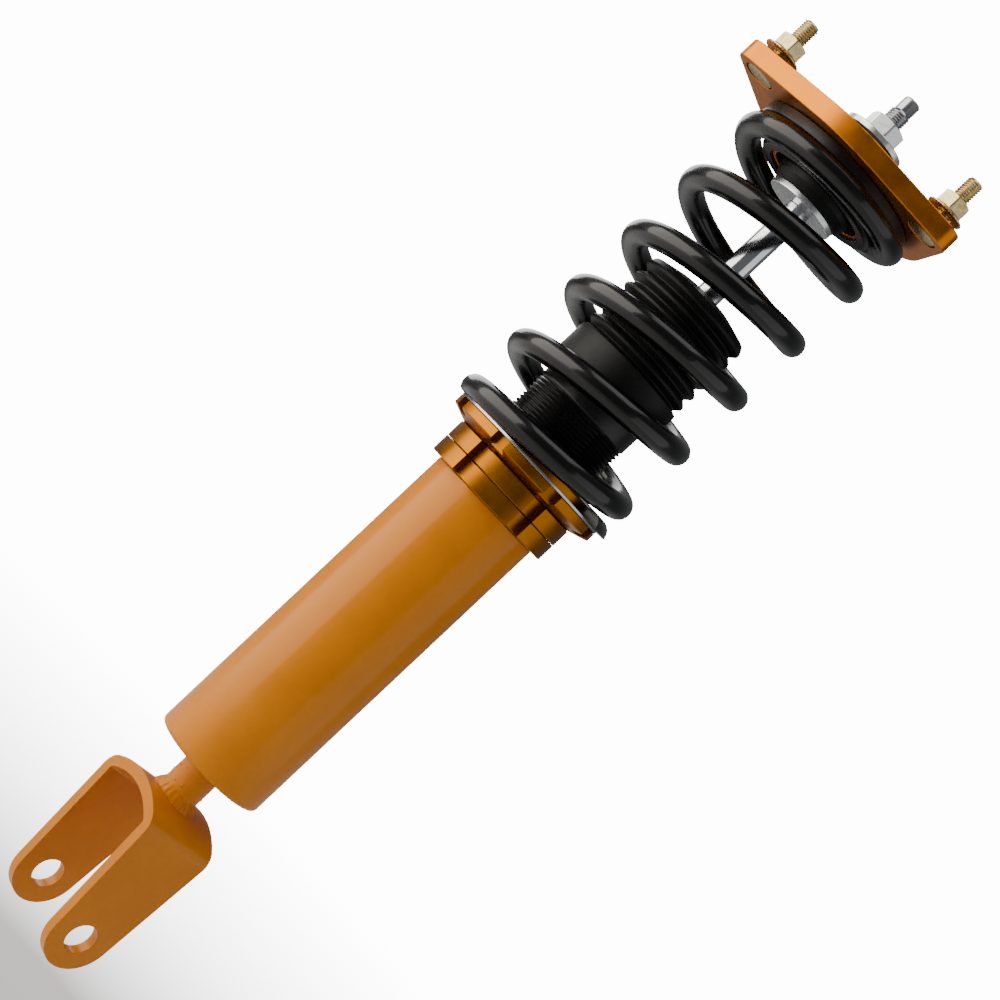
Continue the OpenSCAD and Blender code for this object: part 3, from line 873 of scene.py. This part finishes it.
ringed("support_washer_finished", "support_washer", BORE_R, 0.5, white_zinc, "rod")
ringed("upper_washer_finished", "upper_washer", BORE_R, 0.5, white_zinc, "rod")
ringed("bush_sleeve_finished", "bush_sleeve", BORE_R, 0.3, white_zinc, "rod")
ringed("topout_washer_finished", "topout_washer", BORE_R, 0.3, bright_steel, "rod")

SLEEVE_R, SPIGOT_R = 8.02, 14.4
PLATE_T = 9.5
plate_high = high("top_plate")
plate_low = plate_high - PLATE_T
for node in ("lower_bush", "upper_bush"):
    z0, z1 = low(node), high(node)
    if node == "lower_bush":
        corners = [(SLEEVE_R, z0, 0.2), (18, z0, 0.8), (20.4, z0 + 4, 1.5), (21, z0 + 6.5, 1.5),
                   (21, plate_low - 0.1, 1.2), (SPIGOT_R, plate_low - 0.1, 0.3),
                   (SPIGOT_R, z1, 0.5), (SLEEVE_R, z1, 0.2)]
    else:
        rim_z = plate_high - 0.9
        corners = [(SLEEVE_R, z0, 0.2), (SPIGOT_R, z0, 0.5), (SPIGOT_R, rim_z, 0.3), (18, rim_z, 0.8),
                   (18, z1 - 3, 1.6), (16, z1, 0.8), (SLEEVE_R, z1, 0.2)]
    bush = turned(node + "_rubber", rounded(corners, 0.5, 5), [rubber])
    shaded(bush, 50)
    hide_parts(node)
    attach(bush, "rod")


def hex_nut(name, across, z0, z1, bore, collar, material):
    """A hexagon nut with chamfered corners. collar rows are (radius, height) under the hexagon;
    a third value lifts every second serration."""
    around = 144
    verts, faces = [], []
    bevel = math.tan(math.radians(30))
    flat_r = across / 2 * 0.96
    for i in range(around):
        a = 2 * math.pi * i / around
        corner = hex_radius(a, across)
        rows = [(bore + 0.6, z0), *[(r, z + (lift if i % 4 < 2 else 0)) for r, z, lift in collar]]
        last_z = collar[-1][1] if collar else z0
        rows += [(corner, last_z + (0 if collar else (corner - flat_r) * bevel)),
                 (corner, z1 - (corner - flat_r) * bevel), (flat_r, z1), (bore + 0.7, z1),
                 (bore, z1 - 0.7), (bore, z0 + 0.6)]
        verts += [(r * math.cos(a), r * math.sin(a), z) for r, z in rows]
    ring = len(verts) // around
    for i in range(around):
        n = (i + 1) % around
        for j in range(ring):
            k = (j + 1) % ring
            faces.append((i * ring + j, n * ring + j, n * ring + k, i * ring + k))
    return piece(name, verts, faces, [material])


nut_low = low("rod_nut")
collar = [(8.1, nut_low, 0), (8.6, nut_low + 0.4, 0), (8.6, nut_low + 1.1, 0), (8.3, nut_low + 1.4, 0)]
rod_nut = hex_nut("rod_nut_finished", 16.8, nut_low, nut_top_z, BORE_R, collar, white_zinc)
shaded(rod_nut, 25)
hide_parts("rod_nut")
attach(rod_nut, "rod")

piston_nut = hex_nut(
    "piston_nut_finished", 17, low("piston_nut"), high("piston_nut"), BORE_R, [], bright_steel)
shaded(piston_nut, 25)
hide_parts("piston_nut")
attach(piston_nut, "rod")


# ---- Top mount ----

MID_R, CORNER_AT, CORNER_R = 52.5, 62.0, 8.0
STUD_TURN = 6
STUD_CIRCLE_R = 57.0


def plate_outline():
    """A round middle and three rounded corners joined by straight tangents."""
    points = []
    lean = math.pi / 2 - math.asin((MID_R - CORNER_R) / CORNER_AT)
    for k in range(3):
        a = math.radians(STUD_TURN + 120 * k)
        cx, cy = CORNER_AT * math.cos(a), CORNER_AT * math.sin(a)
        for i in range(17):
            b = a - lean + 2 * lean * i / 16
            points.append((cx + CORNER_R * math.cos(b), cy + CORNER_R * math.sin(b)))
        for i in range(17):
            b = a + lean + (math.radians(120) - 2 * lean) * i / 16
            points.append((MID_R * math.cos(b), MID_R * math.sin(b)))
    return points


stud_hole = [(7.9, plate_low), (7.7, plate_low + 0.2), (7.7, plate_low + 3.2), (4.3, plate_low + 3.2),
             (4.3, plate_high - 0.3), (4.6, plate_high)]
bush_hole = [(15.2, plate_low), (14.8, plate_low + 0.4), (14.8, plate_high - 1), (18.4, plate_high - 1),
             (18.4, plate_high - 0.3), (18.7, plate_high)]
holes = [(0, 0, bush_hole)]
for k in range(3):
    a = math.radians(STUD_TURN + 120 * k)
    holes.append((STUD_CIRCLE_R * math.cos(a), STUD_CIRCLE_R * math.sin(a), stud_hole))
plate = pierced_plate(
    "top_plate_finished", plate_outline(), plate_low, plate_high, 0.6, holes, [plate_gold])
shaded(plate, 30)
boss_low, boss_high = low("top_plate"), plate_low + 0.05
boss = turned("plate_boss", rounded(
    [(25, boss_low), (27, boss_low), (27, boss_high), (25, boss_high)], 0.5), [plate_gold])
shaded(boss)
for made in (plate, boss):
    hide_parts("top_plate")
    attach(made, "top_mount")

seat_low, seat_high = low("upper_spring_seat"), high("upper_spring_seat")
seat_r = radius("upper_spring_seat")
SEAT_BORE_R, SEAT_SPIGOT_R = 27.02, 33.3
upper_seat = turned("upper_seat_finished", rounded([
    (SEAT_BORE_R, seat_low), (31.8, seat_low), (SEAT_SPIGOT_R, seat_low + 1.5),
    (SEAT_SPIGOT_R, SPRING_HIGH + 0.05, 1.0), (seat_r, SPRING_HIGH + 0.05),
    (seat_r, seat_high - 0.05, 0.8), (SEAT_BORE_R, seat_high - 0.05)], 0.6), [coat_black])
shaded(upper_seat, 50)
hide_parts("upper_spring_seat")
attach(upper_seat, "top_mount")

around_axis = circle_tree()
stud_low, stud_tip = low("mount_studs"), high("mount_studs")
stud = screw_turned("mount_studs_finished", [
    (stud_low, 0, 0), (stud_low, 6.8, 0), (stud_low + 0.4, 7.2, 0), (stud_low + 2.6, 7.2, 0),
    (stud_low + 3, 6.9, 0), (stud_low + 3, 4.25, 0), (plate_high - 0.8, 4.25, 0),
    (plate_high - 0.8, 3.8, 0), (plate_high + 1, 3.98, 1), (stud_tip - 0.9, 3.98, 1),
    (stud_tip, 3.2, 0), (stud_tip, 0, 0)], 1.25, 0.62, [yellow_zinc], 48, False)
grown(stud, around_axis, {
    "Count": 3, "Circle radius": STUD_CIRCLE_R * MM, "First angle": math.radians(STUD_TURN),
    "Loose turn": 2.0, "Seed": 3, "Finish": yellow_zinc})
shaded(stud, 50)
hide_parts("mount_studs")
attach(stud, "top_mount")

flange_z = low("stud_nuts")
flange = [(7.9, flange_z, 0.0), (9.1, flange_z + 0.45, 0.22), (9.3, flange_z + 0.8, 0),
          (9.3, flange_z + 1.2, 0), (9.0, flange_z + 1.5, 0), (7.4, flange_z + 2.3, 0)]
nuts = hex_nut("stud_nuts_finished", 13, flange_z, high("stud_nuts"), 4.05, flange, yellow_zinc)
grown(nuts, around_axis, {
    "Count": 3, "Circle radius": STUD_CIRCLE_R * MM, "First angle": math.radians(STUD_TURN),
    "Loose turn": 1.0, "Seed": 11, "Finish": yellow_zinc})
shaded(nuts, 25)
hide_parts("stud_nuts")
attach(nuts, "top_mount")


# ---- CAD nodes that stay, with their own finishes ----

kept = {
    "damper_base": bare_aluminium, "rod_guide": bare_aluminium, "rod_seal": rubber,
    "guide_o_ring": rubber, "gland_nut": coat_black, "gas_piston": bare_aluminium,
    "gas_piston_o_ring": rubber,
    "piston": bare_aluminium, "piston_band": band_plastic, "valve_shims": bright_steel,
}
for name, material in kept.items():
    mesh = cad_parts[name].data
    mesh.materials.clear()
    mesh.materials.append(material)


# ---- Floor, world, lights and camera ----

AZIMUTH = math.radians(46.7)
ROLL = math.radians(46.8)
AIM_Z = 0.262
DISTANCE = 0.926
SIDE_STEP = 0.003
right = Vector((math.cos(AZIMUTH), math.sin(AZIMUTH), 0))
ahead = Vector((-math.sin(AZIMUTH), math.cos(AZIMUTH), 0))
up = Vector((0, 0, 1))
aim = up * AIM_Z

BACKDROP = 14.0
FILL = 0.16
LENS, SENSOR_W = 75.6, 36
FLOOR_R = 3.0
FLOOR_DROP = 0.05

world = bpy.data.worlds.new("pale_studio")
scene.world = world
world.use_nodes = True
wt = world.node_tree
wt.nodes.clear()
seen = add(wt, "ShaderNodeBackground", {"Color": (1, 1, 1, 1), "Strength": BACKDROP})
lit = add(wt, "ShaderNodeBackground", {"Color": (0.95, 0.97, 1.0, 1), "Strength": FILL})
ray = add(wt, "ShaderNodeLightPath")
both = add(wt, "ShaderNodeMixShader", {
    0: ray.outputs["Is Camera Ray"], 1: lit.outputs[0], 2: seen.outputs[0]})
add(wt, "ShaderNodeOutputWorld", {"Surface": both.outputs[0]})

floor_mat = bpy.data.materials.new("pale_floor")
floor_mat.use_nodes = True
ft = floor_mat.node_tree
ft.nodes.clear()
spot = add(ft, "ShaderNodeTexCoord").outputs["Object"]
reach = add(ft, "ShaderNodeVectorMath", {0: spot}, operation="LENGTH")
fade = add(ft, "ShaderNodeMapRange", {
    "Value": reach.outputs["Value"], "From Min": 0.15, "From Max": 0.9, "To Min": 0.0, "To Max": 1.0})
matt = add(ft, "ShaderNodeBsdfDiffuse", {"Color": (0.9, 0.9, 0.9, 1)})
glow = add(ft, "ShaderNodeEmission", {"Color": (1, 1, 1, 1), "Strength": BACKDROP})
floor_ray = add(ft, "ShaderNodeLightPath")
near = add(ft, "ShaderNodeMath", {0: fade.outputs[0], 1: floor_ray.outputs["Is Camera Ray"]},
           operation="MULTIPLY")
blended = add(ft, "ShaderNodeMixShader", {0: near.outputs[0], 1: matt.outputs[0], 2: glow.outputs[0]})
add(ft, "ShaderNodeOutputMaterial", {"Surface": blended.outputs[0]})
floor_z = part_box("clevis")[0].z - FLOOR_DROP
bm = bmesh.new()
bmesh.ops.create_circle(bm, cap_ends=True, segments=96, radius=FLOOR_R)
floor_mesh = bpy.data.meshes.new("studio_floor")
bm.to_mesh(floor_mesh)
bm.free()
floor_mesh.transform(Matrix.Translation((0, 0, floor_z)))
floor_mesh.materials.append(floor_mat)
floor = bpy.data.objects.new("studio_floor", floor_mesh)
scene.collection.objects.link(floor)


def softbox(name, place, size, power, tint=(1, 1, 1)):
    """An area light that faces the middle of the coilover."""
    data = bpy.data.lights.new(name, "AREA")
    data.shape = "RECTANGLE"
    data.size, data.size_y = size
    data.energy = power
    data.color = tint
    box = bpy.data.objects.new(name, data)
    scene.collection.objects.link(box)
    box.location = place
    box.rotation_euler = (aim - place).to_track_quat("-Z", "Y").to_euler()


softbox("left_softbox", aim - right * 1.05 - ahead * 0.32 + up * 0.15, (1.5, 1.3), 28,
        (1, 0.95, 0.87))
softbox("right_softbox", aim + right * 0.95 - ahead * 0.35 - up * 0.05, (1.1, 1.3), 4.2)
softbox("back_softbox", aim + ahead * 0.9 - right * 0.5 + up * 0.5, (0.6, 0.8), 5)
softbox("top_softbox", aim + up * 1.0 - ahead * 0.3, (0.8, 0.8), 4)

eye = bpy.data.cameras.new("view")
eye.sensor_width = SENSOR_W
eye.lens = LENS
camera = bpy.data.objects.new("view", eye)
scene.collection.objects.link(camera)
cam_right = up * math.sin(ROLL) + right * math.cos(ROLL)
cam_up = up * math.cos(ROLL) - right * math.sin(ROLL)
turn = Matrix((cam_right, cam_up, -ahead)).transposed().to_4x4()
camera.matrix_world = Matrix.Translation(aim + right * SIDE_STEP - ahead * DISTANCE) @ turn
scene.camera = camera
